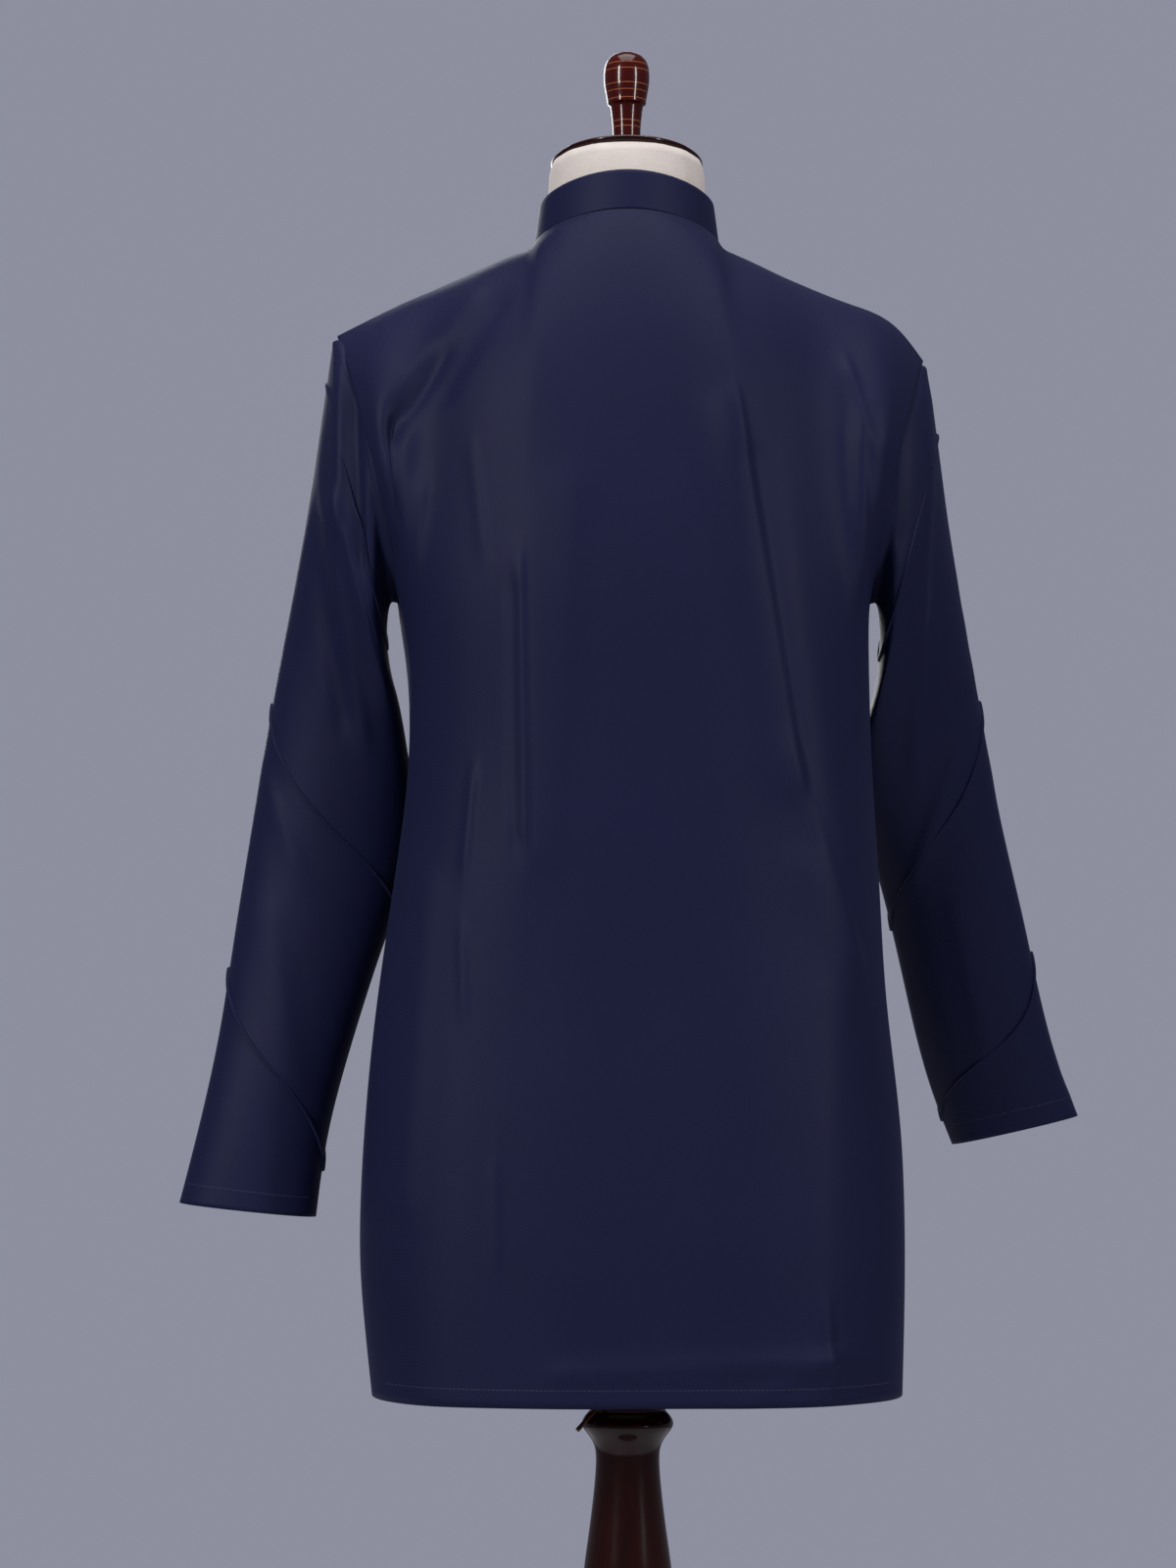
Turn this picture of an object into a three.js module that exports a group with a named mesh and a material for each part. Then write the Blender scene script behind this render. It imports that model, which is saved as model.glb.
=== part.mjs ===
// A short kurta with long sleeves, standing on a limbless dress form with a turned wooden stand.
// Millimetres, +Z up. The wearer faces -Y and the wearer's left is +X.
// The origin is the middle of the foot's underside.
import * as THREE from "three";

// ---------------------------------------------------------------- cloth
const CLOTH_WALL = 2;
const SEAM_GAP = 0.3;
const SIDE_FULLNESS = 2.4; // superellipse power of a level cut through the hanging body
const NECK_SHARE = 0.28; // share of a half panel's columns that end on the neck seam
const YOKE_LENGTH = 0.55; // share of the way to the underarm over which the shoulder rounds down
const UNDERARM_HEIGHT = 1190;
const SLIT_TOP = 806;
const SLIT_OPENING = 9; // from each slit edge at the hem to the side line
const ARMHOLE_DEPTH = 62;
const ARMHOLE_CURVE = 1.5;
const NECK = { halfWidth: 72.5, back: 70, front: 72, sideHeight: 1472, backHeight: 1488, frontHeight: 1436 };

// The shoulder seam from the neck point to the top of the sleeve.
const SHOULDER = {
  left: [
    { out: 72.5, height: 1472 },
    { out: 123, height: 1451 },
    { out: 169, height: 1431 },
    { out: 196, height: 1418 },
    { out: 220, height: 1405 },
  ],
  right: [
    { out: 72.5, height: 1472 },
    { out: 110, height: 1454 },
    { out: 160, height: 1433 },
    { out: 203, height: 1417 },
    { out: 225, height: 1386 },
  ],
};

// Level cuts through the hanging body, from the underarm to the hem.
const BODY_LEVELS = [
  { height: 1190, left: 172, right: 182, back: 119, front: 120 },
  { height: 1150, left: 165, right: 182.5, back: 117, front: 118 },
  { height: 1080, left: 164, right: 184, back: 113, front: 113 },
  { height: 1000, left: 174, right: 189, back: 111, front: 112 },
  { height: 900, left: 188, right: 194, back: 113, front: 114 },
  { height: 806, left: 197, right: 205, back: 117, front: 117 },
  { height: 700, left: 200, right: 207, back: 119, front: 120 },
  { height: 609, left: 190, right: 204, back: 117, front: 121 },
];

// The largest folds of each panel: soft ridges (+) and troughs (-) along a line of two ends.
const FOLDS = {
  back: [
    { name: "long slanting ridge", x0: -82, z0: 1320, x1: -150, z1: 975, reach: 20, height: 6 },
    { name: "hollow by the left armhole", x0: 160, z0: 1345, x1: 168, z1: 1200, reach: 14, height: -6 },
    { name: "left waist ridge", x0: 75, z0: 1190, x1: 80, z1: 1010, reach: 18, height: 4 },
    { name: "left skirt flute", x0: 120, z0: 980, x1: 140, z1: 600, reach: 32, height: 5 },
    { name: "centre skirt flute", x0: -20, z0: 960, x1: -30, z1: 600, reach: 45, height: -4 },
    { name: "right skirt flute", x0: -130, z0: 900, x1: -125, z1: 600, reach: 30, height: 4 },
  ],
  front: [
    { name: "left chest fall", x0: 95, z0: 1330, x1: 120, z1: 960, reach: 24, height: 5 },
    { name: "right chest fall", x0: -90, z0: 1330, x1: -128, z1: 940, reach: 22, height: 5 },
    { name: "left skirt flute", x0: 105, z0: 960, x1: 125, z1: 600, reach: 34, height: 5 },
    { name: "middle hollow", x0: 25, z0: 1000, x1: 35, z1: 600, reach: 40, height: -5 },
    { name: "right skirt flute", x0: -110, z0: 930, x1: -130, z1: 600, reach: 30, height: 5 },
  ],
};
const FOLD_END = 60; // length over which a fold dies away past its end

// The sleeves: the outer fold line and the underarm seam line at the same cut across the sleeve.
const SLEEVE_ROWS = {
  left: [
    { outX: 220, outY: 0, outZ: 1405, inX: 172, inY: 0, inZ: 1190, depth: 62 },
    { outX: 230, outY: -6, outZ: 1360, inX: 183, inY: -8, inZ: 1164, depth: 58 },
    { outX: 239, outY: -18, outZ: 1300, inX: 174, inY: -22, inZ: 1132, depth: 54 },
    { outX: 254, outY: -34, outZ: 1221, inX: 167, inY: -40, inZ: 1092, depth: 48 },
    { outX: 271, outY: -46, outZ: 1135, inX: 162, inY: -52, inZ: 1048, depth: 44 },
    { outX: 288, outY: -52, outZ: 1035, inX: 168, inY: -56, inZ: 996, depth: 40 },
    { outX: 301, outY: -52, outZ: 950, inX: 188, inY: -54, inZ: 937, depth: 37 },
    { outX: 311, outY: -48, outZ: 878, inX: 210, inY: -49, inZ: 866, depth: 36 },
    { outX: 325, outY: -44, outZ: 810, inX: 227, inY: -45, inZ: 800, depth: 36 },
    { outX: 340, outY: -40, outZ: 749, inX: 235, inY: -41, inZ: 738, depth: 34 },
  ],
  right: [
    { outX: 225, outY: 0, outZ: 1386, inX: 182, inY: 0, inZ: 1190, depth: 62 },
    { outX: 235, outY: -10, outZ: 1339, inX: 193, inY: -14, inZ: 1165, depth: 58 },
    { outX: 245, outY: -32, outZ: 1275, inX: 188, inY: -36, inZ: 1130, depth: 53 },
    { outX: 261, outY: -62, outZ: 1200, inX: 178, inY: -68, inZ: 1094, depth: 47 },
    { outX: 276, outY: -92, outZ: 1136, inX: 178, inY: -100, inZ: 1060, depth: 43 },
    { outX: 296, outY: -132, outZ: 1050, inX: 194, inY: -140, inZ: 1018, depth: 40 },
    { outX: 319, outY: -168, outZ: 968, inX: 213, inY: -175, inZ: 958, depth: 39 },
    { outX: 340, outY: -204, outZ: 888, inX: 233, inY: -210, inZ: 880, depth: 38 },
    { outX: 358, outY: -228, outZ: 838, inX: 249, inY: -235, inZ: 830, depth: 37 },
    { outX: 370, outY: -242, outZ: 810, inX: 267, inY: -250, inZ: 786, depth: 36 },
  ],
};
const SLEEVE_FULLNESS = 2.2;
const SLEEVE_STEPS_PER_ROW = 2;
const SLEEVE_HEAD_ROWS = 1.6; // rows over which the armhole's own outline dies away
const SEAM_ROLL = 4; // how far the sleeve runs on past the armhole seam before it turns down
const UNDERARM_ROLL = 5; // how far it stands off the body where it turns back on itself

// Each stitched tuck runs round the sleeve from its peak on the outer fold to the underarm seam.
const TUCKS = {
  left: [
    { name: "1", peakRow: 1.05, seamRow: 1.15 },
    { name: "2", peakRow: 4.05, seamRow: 5.5 },
    { name: "3", peakRow: 6.3, seamRow: 8.4 },
  ],
  right: [
    { name: "1", peakRow: 1.25, seamRow: 1.3 },
    { name: "2", peakRow: 4.0, seamRow: 6.0 },
    { name: "3", peakRow: 6.3, seamRow: 8.5 },
  ],
};
const TUCK = { clear: 1, foot: 2, crest: 0.8, height: 2.4 };

const COLLAR = { height: 30, leanIn: 4, openHalf: 0.035, wall: 1.6, clear: 1 };
const PLACKET = { halfWidth: 15, top: 0.035, bottomHeight: 1170, wall: 1.5, clear: 0.8, steps: 10 };
const BUTTON = { radius: 6, height: 2.6, first: 50, pitch: 75, count: 3, clear: 0.5, dish: 1 };

const PANEL_COLUMNS = 26;
const YOKE_ROWS = 10;
const SKIRT_ROWS = 12;

// ---------------------------------------------------------------- dress form and stand
const TORSO_LEVELS = [
  { height: 800, side: 138, back: 80, front: 78, lift: 0 },
  { height: 806, side: 144, back: 86, front: 84, lift: 0 },
  { height: 880, side: 156, back: 99, front: 95, lift: 0 },
  { height: 960, side: 151, back: 97, front: 93, lift: 0 },
  { height: 1080, side: 141, back: 93, front: 92, lift: 0 },
  { height: 1190, side: 154, back: 105, front: 105, lift: 0 },
  { height: 1290, side: 162, back: 108, front: 108, lift: 0 },
  { height: 1345, side: 172, back: 99, front: 100, lift: 0 },
  { height: 1385, side: 184, back: 78, front: 78, lift: 0 },
  { height: 1408, side: 172, back: 68, front: 67, lift: 0 },
  { height: 1430, side: 118, back: 64, front: 61, lift: 0 },
  { height: 1448, side: 76, back: 61, front: 60.5, lift: 0 },
  { height: 1464, side: 63, back: 60.5, front: 60.5, lift: 0 },
  { height: 1482, side: 60.5, back: 60.5, front: 60.5, lift: 0 },
  { height: 1510, side: 60.5, back: 60.5, front: 60.5, lift: 0.08 },
  { height: 1532, side: 59, back: 59, front: 59, lift: 0.16 },
];
const TORSO_FULLNESS = 2.15;
const TORSO_SIDES = 32;

const CAP = { radius: 58.5, thickness: 5, height: 1532.4, lift: 0.16, crown: 2.5 };
const HANDLE_TOP = 1624;
const HANDLE_PROFILE = [
  { below: 83, radius: 14 },
  { below: 79, radius: 14 },
  { below: 76, radius: 11 },
  { below: 64, radius: 10.3 },
  { below: 52, radius: 11.2 },
  { below: 42, radius: 12.6 },
  { below: 40.4, radius: 14.8 },
  { below: 36, radius: 15.2 },
  { below: 26, radius: 17.4 },
  { below: 17, radius: 17.7 },
  { below: 9, radius: 16.6 },
  { below: 3.5, radius: 12.4 },
  { below: 0.8, radius: 6.6 },
  { below: 0, radius: 0 },
];

const PILLAR_PROFILE = [
  { height: 28.3, radius: 62 },
  { height: 40, radius: 62 },
  { height: 50, radius: 54 },
  { height: 62, radius: 33 },
  { height: 84, radius: 24 },
  { height: 130, radius: 21 },
  { height: 200, radius: 23 },
  { height: 280, radius: 31 },
  { height: 350, radius: 39 },
  { height: 410, radius: 40 },
  { height: 474.7, radius: 34 },
  { height: 503, radius: 29.7 },
  { height: 534, radius: 25.6 },
  { height: 562, radius: 23.2 },
  { height: 573, radius: 25 },
  { height: 581, radius: 31.5 },
  { height: 585, radius: 34.3 },
  { height: 588, radius: 34.6 },
  { height: 592, radius: 33 },
  { height: 596, radius: 29 },
  { height: 597, radius: 28.4 },
  { height: 600, radius: 28.4 },
  { height: 601, radius: 27 },
  { height: 601.5, radius: 16 },
  { height: 799.6, radius: 16 },
];
const LATHE_SIDES = 24;
const BASE = { radius: 175, height: 28, edge: 8 };
const PEG = { radius: 1.8, outer: [37.6, 31, 585], inner: [12.5, 17, 611] };

// ---------------------------------------------------------------- small helpers
const clamp01 = (value) => Math.min(1, Math.max(0, value));
const mix = (a, b, share) => a + (b - a) * share;
const smooth = (value) => clamp01(value) ** 2 * (3 - 2 * clamp01(value));
const power = (value, exponent) => Math.sign(value) * Math.abs(value) ** exponent;

// A smooth curve through the values of one named column of a table, at a fractional row.
function columnAt(rows, name, place) {
  const last = rows.length - 1;
  const row = Math.min(last - 1, Math.max(0, Math.floor(place)));
  const share = Math.min(last, Math.max(0, place)) - row;
  const at = (index) => rows[Math.min(last, Math.max(0, index))][name];
  const [p0, p1, p2, p3] = [at(row - 1), at(row), at(row + 1), at(row + 2)];
  const bend = 2 * p0 - 5 * p1 + 4 * p2 - p3 + (3 * (p1 - p2) + p3 - p0) * share;
  return p1 + 0.5 * share * (p2 - p0 + share * bend);
}

// The fractional row at which a falling or rising column reaches a value.
function rowWhere(rows, name, value) {
  const rising = rows[rows.length - 1][name] > rows[0][name];
  let row = 0;
  while (row < rows.length - 2 && (rising ? rows[row + 1][name] < value : rows[row + 1][name] > value)) {
    row += 1;
  }
  return row + clamp01((value - rows[row][name]) / (rows[row + 1][name] - rows[row][name]));
}

const levelOf = (rows, name, height) => columnAt(rows, name, rowWhere(rows, "height", height));

// ---------------------------------------------------------------- the body's two panels
// across runs from -1 (wearer's right) to 1 (left); down runs from 0 (neck and shoulder seams) to
// 1 (underarm) and on to 2 (hem); facing is 1 for the back and -1 for the front.
function topEdge(facing, across) {
  const side = across < 0 ? "right" : "left";
  const away = Math.abs(across);
  if (away <= NECK_SHARE) {
    const turn = (away / NECK_SHARE) * (Math.PI / 2);
    const reach = facing > 0 ? NECK.back : NECK.front;
    const height = facing > 0 ? NECK.backHeight : NECK.frontHeight;
    return new THREE.Vector3(
      Math.sign(across) * NECK.halfWidth * Math.sin(turn),
      facing * Math.max(SEAM_GAP / 2, reach * Math.cos(turn)),
      mix(NECK.sideHeight, height, Math.cos(turn) ** 1.5),
    );
  }
  const rows = SHOULDER[side];
  const out = mix(NECK.halfWidth, rows[rows.length - 1].out, (away - NECK_SHARE) / (1 - NECK_SHARE));
  const height = columnAt(rows, "height", rowWhere(rows, "out", out));
  return new THREE.Vector3(Math.sign(across) * out, (facing * SEAM_GAP) / 2, height);
}

function levelPoint(facing, across, height) {
  const turn = across * (Math.PI / 2);
  const halfWidth = levelOf(BODY_LEVELS, across < 0 ? "right" : "left", height);
  const depth = levelOf(BODY_LEVELS, facing > 0 ? "back" : "front", height);
  const opening = SLIT_OPENING * clamp01((SLIT_TOP - height) / (SLIT_TOP - 609));
  return new THREE.Vector3(
    halfWidth * power(Math.sin(turn), 2 / SIDE_FULLNESS),
    facing * Math.max(SEAM_GAP / 2 + opening, depth * power(Math.cos(turn), 2 / SIDE_FULLNESS)),
    height,
  );
}

function smoothPanel(facing, across, down) {
  if (down >= 1) {
    const hem = BODY_LEVELS[BODY_LEVELS.length - 1].height;
    return levelPoint(facing, across, mix(UNDERARM_HEIGHT, hem, down - 1));
  }
  const top = topEdge(facing, across);
  const foot = levelPoint(facing, across, UNDERARM_HEIGHT);
  const away = Math.abs(across);
  const rounded = Math.sqrt(1 - (1 - clamp01(down / YOKE_LENGTH)) ** 2);
  const sloping = 1 - (1 - down) ** 3;
  const fall = mix(sloping, rounded, smooth(away / NECK_SHARE));
  const armhole = ARMHOLE_DEPTH * 4 * down * (1 - down) * smooth((away - 0.55) / 0.45);
  return new THREE.Vector3(
    mix(top.x, foot.x, 1 - (1 - down) ** ARMHOLE_CURVE),
    mix(top.y, foot.y, fall) + facing * armhole,
    mix(top.z, foot.z, down),
  );
}

// Direction out of the cloth, from two short steps along it.
function outward(surface, u, v, uRange, vRange, flip) {
  const step = 1e-3;
  const u0 = Math.max(uRange[0], u - step);
  const u1 = Math.min(uRange[1], u + step);
  const v0 = Math.max(vRange[0], v - step);
  const v1 = Math.min(vRange[1], v + step);
  const along = surface(u1, v).sub(surface(u0, v));
  const downward = surface(u, v1).sub(surface(u, v0));
  return along.cross(downward).multiplyScalar(flip).normalize();
}

function foldHeight(facing, point) {
  let height = 0;
  for (const fold of facing > 0 ? FOLDS.back : FOLDS.front) {
    const dx = fold.x1 - fold.x0;
    const dz = fold.z1 - fold.z0;
    const length = Math.hypot(dx, dz);
    const along = ((point.x - fold.x0) * dx + (point.z - fold.z0) * dz) / length;
    const aside = ((point.x - fold.x0) * dz - (point.z - fold.z0) * dx) / length;
    const past = Math.max(0, -along, along - length) / FOLD_END;
    height += fold.height * Math.exp(-((aside / fold.reach) ** 2) - past * past);
  }
  return height;
}

function panelOutward(facing, across, down) {
  const away = Math.abs(across);
  const out = outward((u, v) => smoothPanel(facing, u, v), across, down, [-1, 1], [0, 2], facing);
  const onSeam = away > 0.999 && (down < 0.001 || down >= 0.999);
  const onShoulder = down < 0.001 && away >= NECK_SHARE - 0.001;
  if (onSeam || onShoulder) {
    out.y = 0;
    out.normalize();
  }
  return out;
}

function panelPoint(facing, across, down) {
  const base = smoothPanel(facing, across, down);
  const free = (1 - Math.abs(across) ** 8) * smooth(down / 0.15);
  return base.addScaledVector(panelOutward(facing, across, down), foldHeight(facing, base) * free);
}

// ---------------------------------------------------------------- building closed walls
// A grid of outer points and a matching grid of inner points become one closed wall.
function wallGeometry(outer, inner, closed) {
  const rows = outer.length;
  const columns = outer[0].length;
  const positions = [];
  for (const grid of [outer, inner]) {
    for (const row of grid) {
      for (const point of row) positions.push(point.x, point.y, point.z);
    }
  }
  const faces = [];
  const at = (layer, row, column) => (layer * rows + row) * columns + (column % columns);
  const quad = (a, b, c, d) => faces.push(a, b, c, a, c, d);
  const spans = closed ? columns : columns - 1;
  for (let row = 0; row < rows - 1; row += 1) {
    for (let column = 0; column < spans; column += 1) {
      quad(at(0, row, column), at(0, row + 1, column), at(0, row + 1, column + 1), at(0, row, column + 1));
      quad(at(1, row, column), at(1, row, column + 1), at(1, row + 1, column + 1), at(1, row + 1, column));
    }
  }
  for (let column = 0; column < spans; column += 1) {
    const last = rows - 1;
    quad(at(0, 0, column), at(0, 0, column + 1), at(1, 0, column + 1), at(1, 0, column));
    quad(at(0, last, column), at(1, last, column), at(1, last, column + 1), at(0, last, column + 1));
  }
  if (!closed) {
    for (let row = 0; row < rows - 1; row += 1) {
      const edge = columns - 1;
      quad(at(0, row, 0), at(1, row, 0), at(1, row + 1, 0), at(0, row + 1, 0));
      quad(at(0, row, edge), at(0, row + 1, edge), at(1, row + 1, edge), at(1, row, edge));
    }
  }
  return facingOut(positions, faces);
}

// Turns every face round if the solid came out inside out.
function facingOut(positions, faces) {
  let volume = 0;
  const [a, b, c] = [new THREE.Vector3(), new THREE.Vector3(), new THREE.Vector3()];
  for (let face = 0; face < faces.length; face += 3) {
    a.fromArray(positions, faces[face] * 3);
    b.fromArray(positions, faces[face + 1] * 3);
    c.fromArray(positions, faces[face + 2] * 3);
    volume += a.dot(b.cross(c));
  }
  if (volume < 0) faces.reverse();
  const geometry = new THREE.BufferGeometry();
  geometry.setAttribute("position", new THREE.Float32BufferAttribute(positions, 3));
  geometry.setIndex(faces);
  geometry.computeVertexNormals();
  return geometry;
}

// A loft through closed rings of points, with a flat lid at each end.
function loftGeometry(rings) {
  const sides = rings[0].length;
  const positions = rings.flat().flatMap((point) => point.toArray());
  const faces = [];
  for (let ring = 0; ring < rings.length - 1; ring += 1) {
    for (let side = 0; side < sides; side += 1) {
      const [a, b] = [ring * sides + side, ring * sides + ((side + 1) % sides)];
      faces.push(a, b, b + sides, a, b + sides, a + sides);
    }
  }
  for (const ring of [0, rings.length - 1]) {
    const middle = rings[ring].reduce((sum, point) => sum.add(point), new THREE.Vector3()).divideScalar(sides);
    const hub = positions.length / 3;
    positions.push(...middle.toArray());
    for (let side = 0; side < sides; side += 1) {
      const [a, b] = [ring * sides + side, ring * sides + ((side + 1) % sides)];
      faces.push(...(ring === 0 ? [hub, b, a] : [hub, a, b]));
    }
  }
  return facingOut(positions, faces);
}

const yokePlace = (row) => (row / YOKE_ROWS) ** 1.4;
const downPlaces = [
  ...Array.from({ length: YOKE_ROWS }, (_, row) => yokePlace(row)),
  ...Array.from({ length: SKIRT_ROWS + 1 }, (_, row) => 1 + row / SKIRT_ROWS),
];
// Columns include the two neck points, so that the neck seam ends in a true corner.
const neckColumns = 10;
const halfColumns = PANEL_COLUMNS / 2;
const acrossPlaces = Array.from({ length: PANEL_COLUMNS + 1 }, (_, column) => {
  const step = column - halfColumns;
  const away = Math.abs(step);
  const neckHalf = neckColumns / 2;
  const place =
    away <= neckHalf
      ? (away / neckHalf) * NECK_SHARE
      : mix(NECK_SHARE, 1, ((away - neckHalf) / (halfColumns - neckHalf)) ** 0.92);
  return Math.sign(step) * place;
});

function panelGeometry(facing) {
  const outer = downPlaces.map((down) => acrossPlaces.map((across) => panelPoint(facing, across, down)));
  const inner = downPlaces.map((down, row) =>
    acrossPlaces.map((across, column) =>
      outer[row][column].clone().addScaledVector(panelOutward(facing, across, down), -CLOTH_WALL),
    ),
  );
  return wallGeometry(outer, inner, false);
}

// ---------------------------------------------------------------- sleeves
// The armhole seam: for each yoke row, the panel's edge, and how to step off it into the sleeve.
function armholeEdge(facing, sideSign, down) {
  const outer = panelPoint(facing, sideSign, down);
  const out = panelOutward(facing, sideSign, down);
  const step = 0.004;
  const before = panelPoint(facing, sideSign, Math.max(0, down - step));
  const after = panelPoint(facing, sideSign, Math.min(1, down + step));
  const off = after.sub(before).normalize().cross(out).normalize();
  const inwardPoint = panelPoint(facing, sideSign * 0.98, down);
  if (off.dot(outer.clone().sub(inwardPoint)) < 0) off.negate();
  if (down > 0.999) off.set(0, 0, 1);
  return { outer, out, off };
}

function armholeRing(sideSign) {
  const ring = [];
  for (let row = 0; row < 2 * YOKE_ROWS; row += 1) {
    const facing = row <= YOKE_ROWS ? 1 : -1;
    const step = row <= YOKE_ROWS ? row : 2 * YOKE_ROWS - row;
    const edge = armholeEdge(facing, sideSign, step === YOKE_ROWS ? 1 : yokePlace(step));
    if (step === 0 || step === YOKE_ROWS) edge.outer.y = 0;
    if (step === 0 || step === YOKE_ROWS) edge.off.y = 0;
    edge.off.normalize();
    const outer = edge.outer.clone().addScaledVector(edge.off, SEAM_GAP);
    const turning = smooth(((step === YOKE_ROWS ? 1 : yokePlace(step)) - 0.3) / 0.4);
    const rolled = outer
      .clone()
      .addScaledVector(edge.off, SEAM_ROLL)
      .addScaledVector(edge.out, UNDERARM_ROLL * turning);
    const under = edge.off.clone().multiplyScalar(turning).sub(edge.out).normalize();
    ring.push({
      outer,
      inner: outer.clone().addScaledVector(edge.out, -CLOTH_WALL),
      rolled,
      rolledInner: rolled.clone().addScaledVector(under, CLOTH_WALL),
      start: rolled.clone().addScaledVector(edge.out, 3 * turning),
    });
  }
  return ring;
}

// A point of the plain sleeve: round runs 0 (outer fold), 0.25 (back), 0.5 (underarm), 0.75 (front).
function sleeveTube(side, round, row) {
  const rows = SLEEVE_ROWS[side];
  const sign = side === "left" ? 1 : -1;
  const value = (name) => columnAt(rows, name, row);
  const outerLine = new THREE.Vector3(sign * value("outX"), value("outY"), value("outZ"));
  const seamLine = new THREE.Vector3(sign * value("inX"), value("inY"), value("inZ"));
  const middle = outerLine.clone().add(seamLine).multiplyScalar(0.5);
  const width = outerLine.clone().sub(middle);
  const turn = round * 2 * Math.PI;
  return middle
    .addScaledVector(width, power(Math.cos(turn), 2 / SLEEVE_FULLNESS))
    .add(new THREE.Vector3(0, value("depth") * power(Math.sin(turn), 2 / SLEEVE_FULLNESS), 0));
}

const sleeveSides = 2 * YOKE_ROWS;
const armholes = { left: armholeRing(1), right: armholeRing(-1) };
const lastSleeveRow = SLEEVE_ROWS.left.length - 1;

// The same point with the sleeve head drawn to the armhole seam; round may fall between its points.
function sleevePoint(side, round, row) {
  const place = (((round % 1) + 1) % 1) * sleeveSides;
  const corner = Math.floor(place);
  const ring = armholes[side];
  const seam = ring[corner % sleeveSides].start
    .clone()
    .lerp(ring[(corner + 1) % sleeveSides].start, place - corner);
  const head = 1 - smooth(row / SLEEVE_HEAD_ROWS);
  return sleeveTube(side, round, row).lerp(seam, head);
}

function sleeveOutward(side, round, row) {
  const flip = side === "left" ? -1 : 1;
  const surface = (u, v) => sleevePoint(side, u, v);
  return outward(surface, round, row, [-1, 2], [0, lastSleeveRow], flip);
}

function sleeveGeometry(side) {
  const steps = lastSleeveRow * SLEEVE_STEPS_PER_ROW;
  const outer = ["outer", "rolled"].map((name) => armholes[side].map((point) => point[name]));
  const inner = ["inner", "rolledInner"].map((name) => armholes[side].map((point) => point[name]));
  for (let step = 1; step <= steps; step += 1) {
    const row = step / SLEEVE_STEPS_PER_ROW;
    const ring = Array.from({ length: sleeveSides }, (_, index) => sleevePoint(side, index / sleeveSides, row));
    outer.push(ring);
    inner.push(
      ring.map((point, index) =>
        point.clone().addScaledVector(sleeveOutward(side, index / sleeveSides, row), -CLOTH_WALL),
      ),
    );
  }
  return wallGeometry(outer, inner, true);
}

// A tuck is a low ridge laid on the sleeve's own points and moved out.
function tuckGeometry(side, tuck) {
  const sections = Array.from({ length: sleeveSides }, (_, index) => {
    const round = index / sleeveSides;
    const row = mix(tuck.peakRow, tuck.seamRow, 1 - Math.abs(1 - 2 * round));
    const above = Math.floor(row * SLEEVE_STEPS_PER_ROW) / SLEEVE_STEPS_PER_ROW;
    const [start, end] = [0, 1].map((step) => sleevePoint(side, round, above + step / SLEEVE_STEPS_PER_ROW));
    const foot = start.clone().lerp(end, (row - above) * SLEEVE_STEPS_PER_ROW);
    const out = sleeveOutward(side, round, row);
    const along = end.sub(start).normalize();
    const corner = (aside, up) => foot.clone().addScaledVector(along, aside).addScaledVector(out, up);
    return [
      corner(-TUCK.foot, TUCK.clear),
      corner(-TUCK.crest, TUCK.clear + TUCK.height),
      corner(TUCK.crest, TUCK.clear + TUCK.height),
      corner(TUCK.foot, TUCK.clear),
    ];
  });
  const outer = [1, 2].map((corner) => sections.map((section) => section[corner]));
  const inner = [0, 3].map((corner) => sections.map((section) => section[corner]));
  return wallGeometry(outer, inner, true);
}

// ---------------------------------------------------------------- collar, placket and buttons
// turn runs round the neck from just left of centre front, over the back, to just right of it.
function neckSeam(place) {
  const facing = Math.abs(place) <= 1 ? 1 : -1;
  const share = facing > 0 ? Math.abs(place) : 2 - Math.abs(place);
  const across = Math.sign(place) * share * NECK_SHARE;
  const seam = panelPoint(facing, across, 0);
  const out = panelOutward(facing, across, 0);
  const ahead = panelPoint(facing, across + 0.004 * (across > 0 ? -1 : 1), 0);
  if (share > 0.999) {
    seam.y = 0;
    ahead.x = seam.x;
  }
  const off = ahead.sub(seam).normalize().cross(out).normalize();
  if (off.dot(seam.clone().setZ(0)) > 0) off.negate();
  const radial = new THREE.Vector3(seam.x, seam.y, 0).normalize();
  return { foot: seam.addScaledVector(off, COLLAR.clear), out, radial };
}

function collarGeometry() {
  const steps = 2 * neckColumns;
  const end = 2 - COLLAR.openHalf;
  const corners = Array.from({ length: steps + 1 }, (_, step) => neckSeam(mix(-2, 2, step / steps)));
  // The two front ends stop short of the middle, on the straight seam between two corners.
  for (const [last, before] of [[0, 1], [steps, steps - 1]]) {
    corners[last].foot.lerp(corners[before].foot, ((2 - end) * steps) / 4);
  }
  const grid = { outer: [], inner: [] };
  for (const share of [1, 0.3]) {
    const rise = corners.map(({ foot, radial }) =>
      foot
        .clone()
        .addScaledVector(radial, -COLLAR.leanIn * share)
        .setZ(foot.z + COLLAR.height * share),
    );
    grid.outer.push(rise);
    grid.inner.push(rise.map((point, index) => point.clone().addScaledVector(corners[index].radial, -COLLAR.wall)));
  }
  grid.outer.push(corners.map(({ foot }) => foot));
  grid.inner.push(corners.map(({ foot, out }) => foot.clone().addScaledVector(out, -COLLAR.wall)));
  return wallGeometry(grid.outer, grid.inner, false);
}

function frontPlaceAtHeight(height) {
  if (height < UNDERARM_HEIGHT) {
    const hem = BODY_LEVELS[BODY_LEVELS.length - 1].height;
    return 1 + (UNDERARM_HEIGHT - height) / (UNDERARM_HEIGHT - hem);
  }
  return (NECK.frontHeight - height) / (NECK.frontHeight - UNDERARM_HEIGHT);
}

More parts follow.
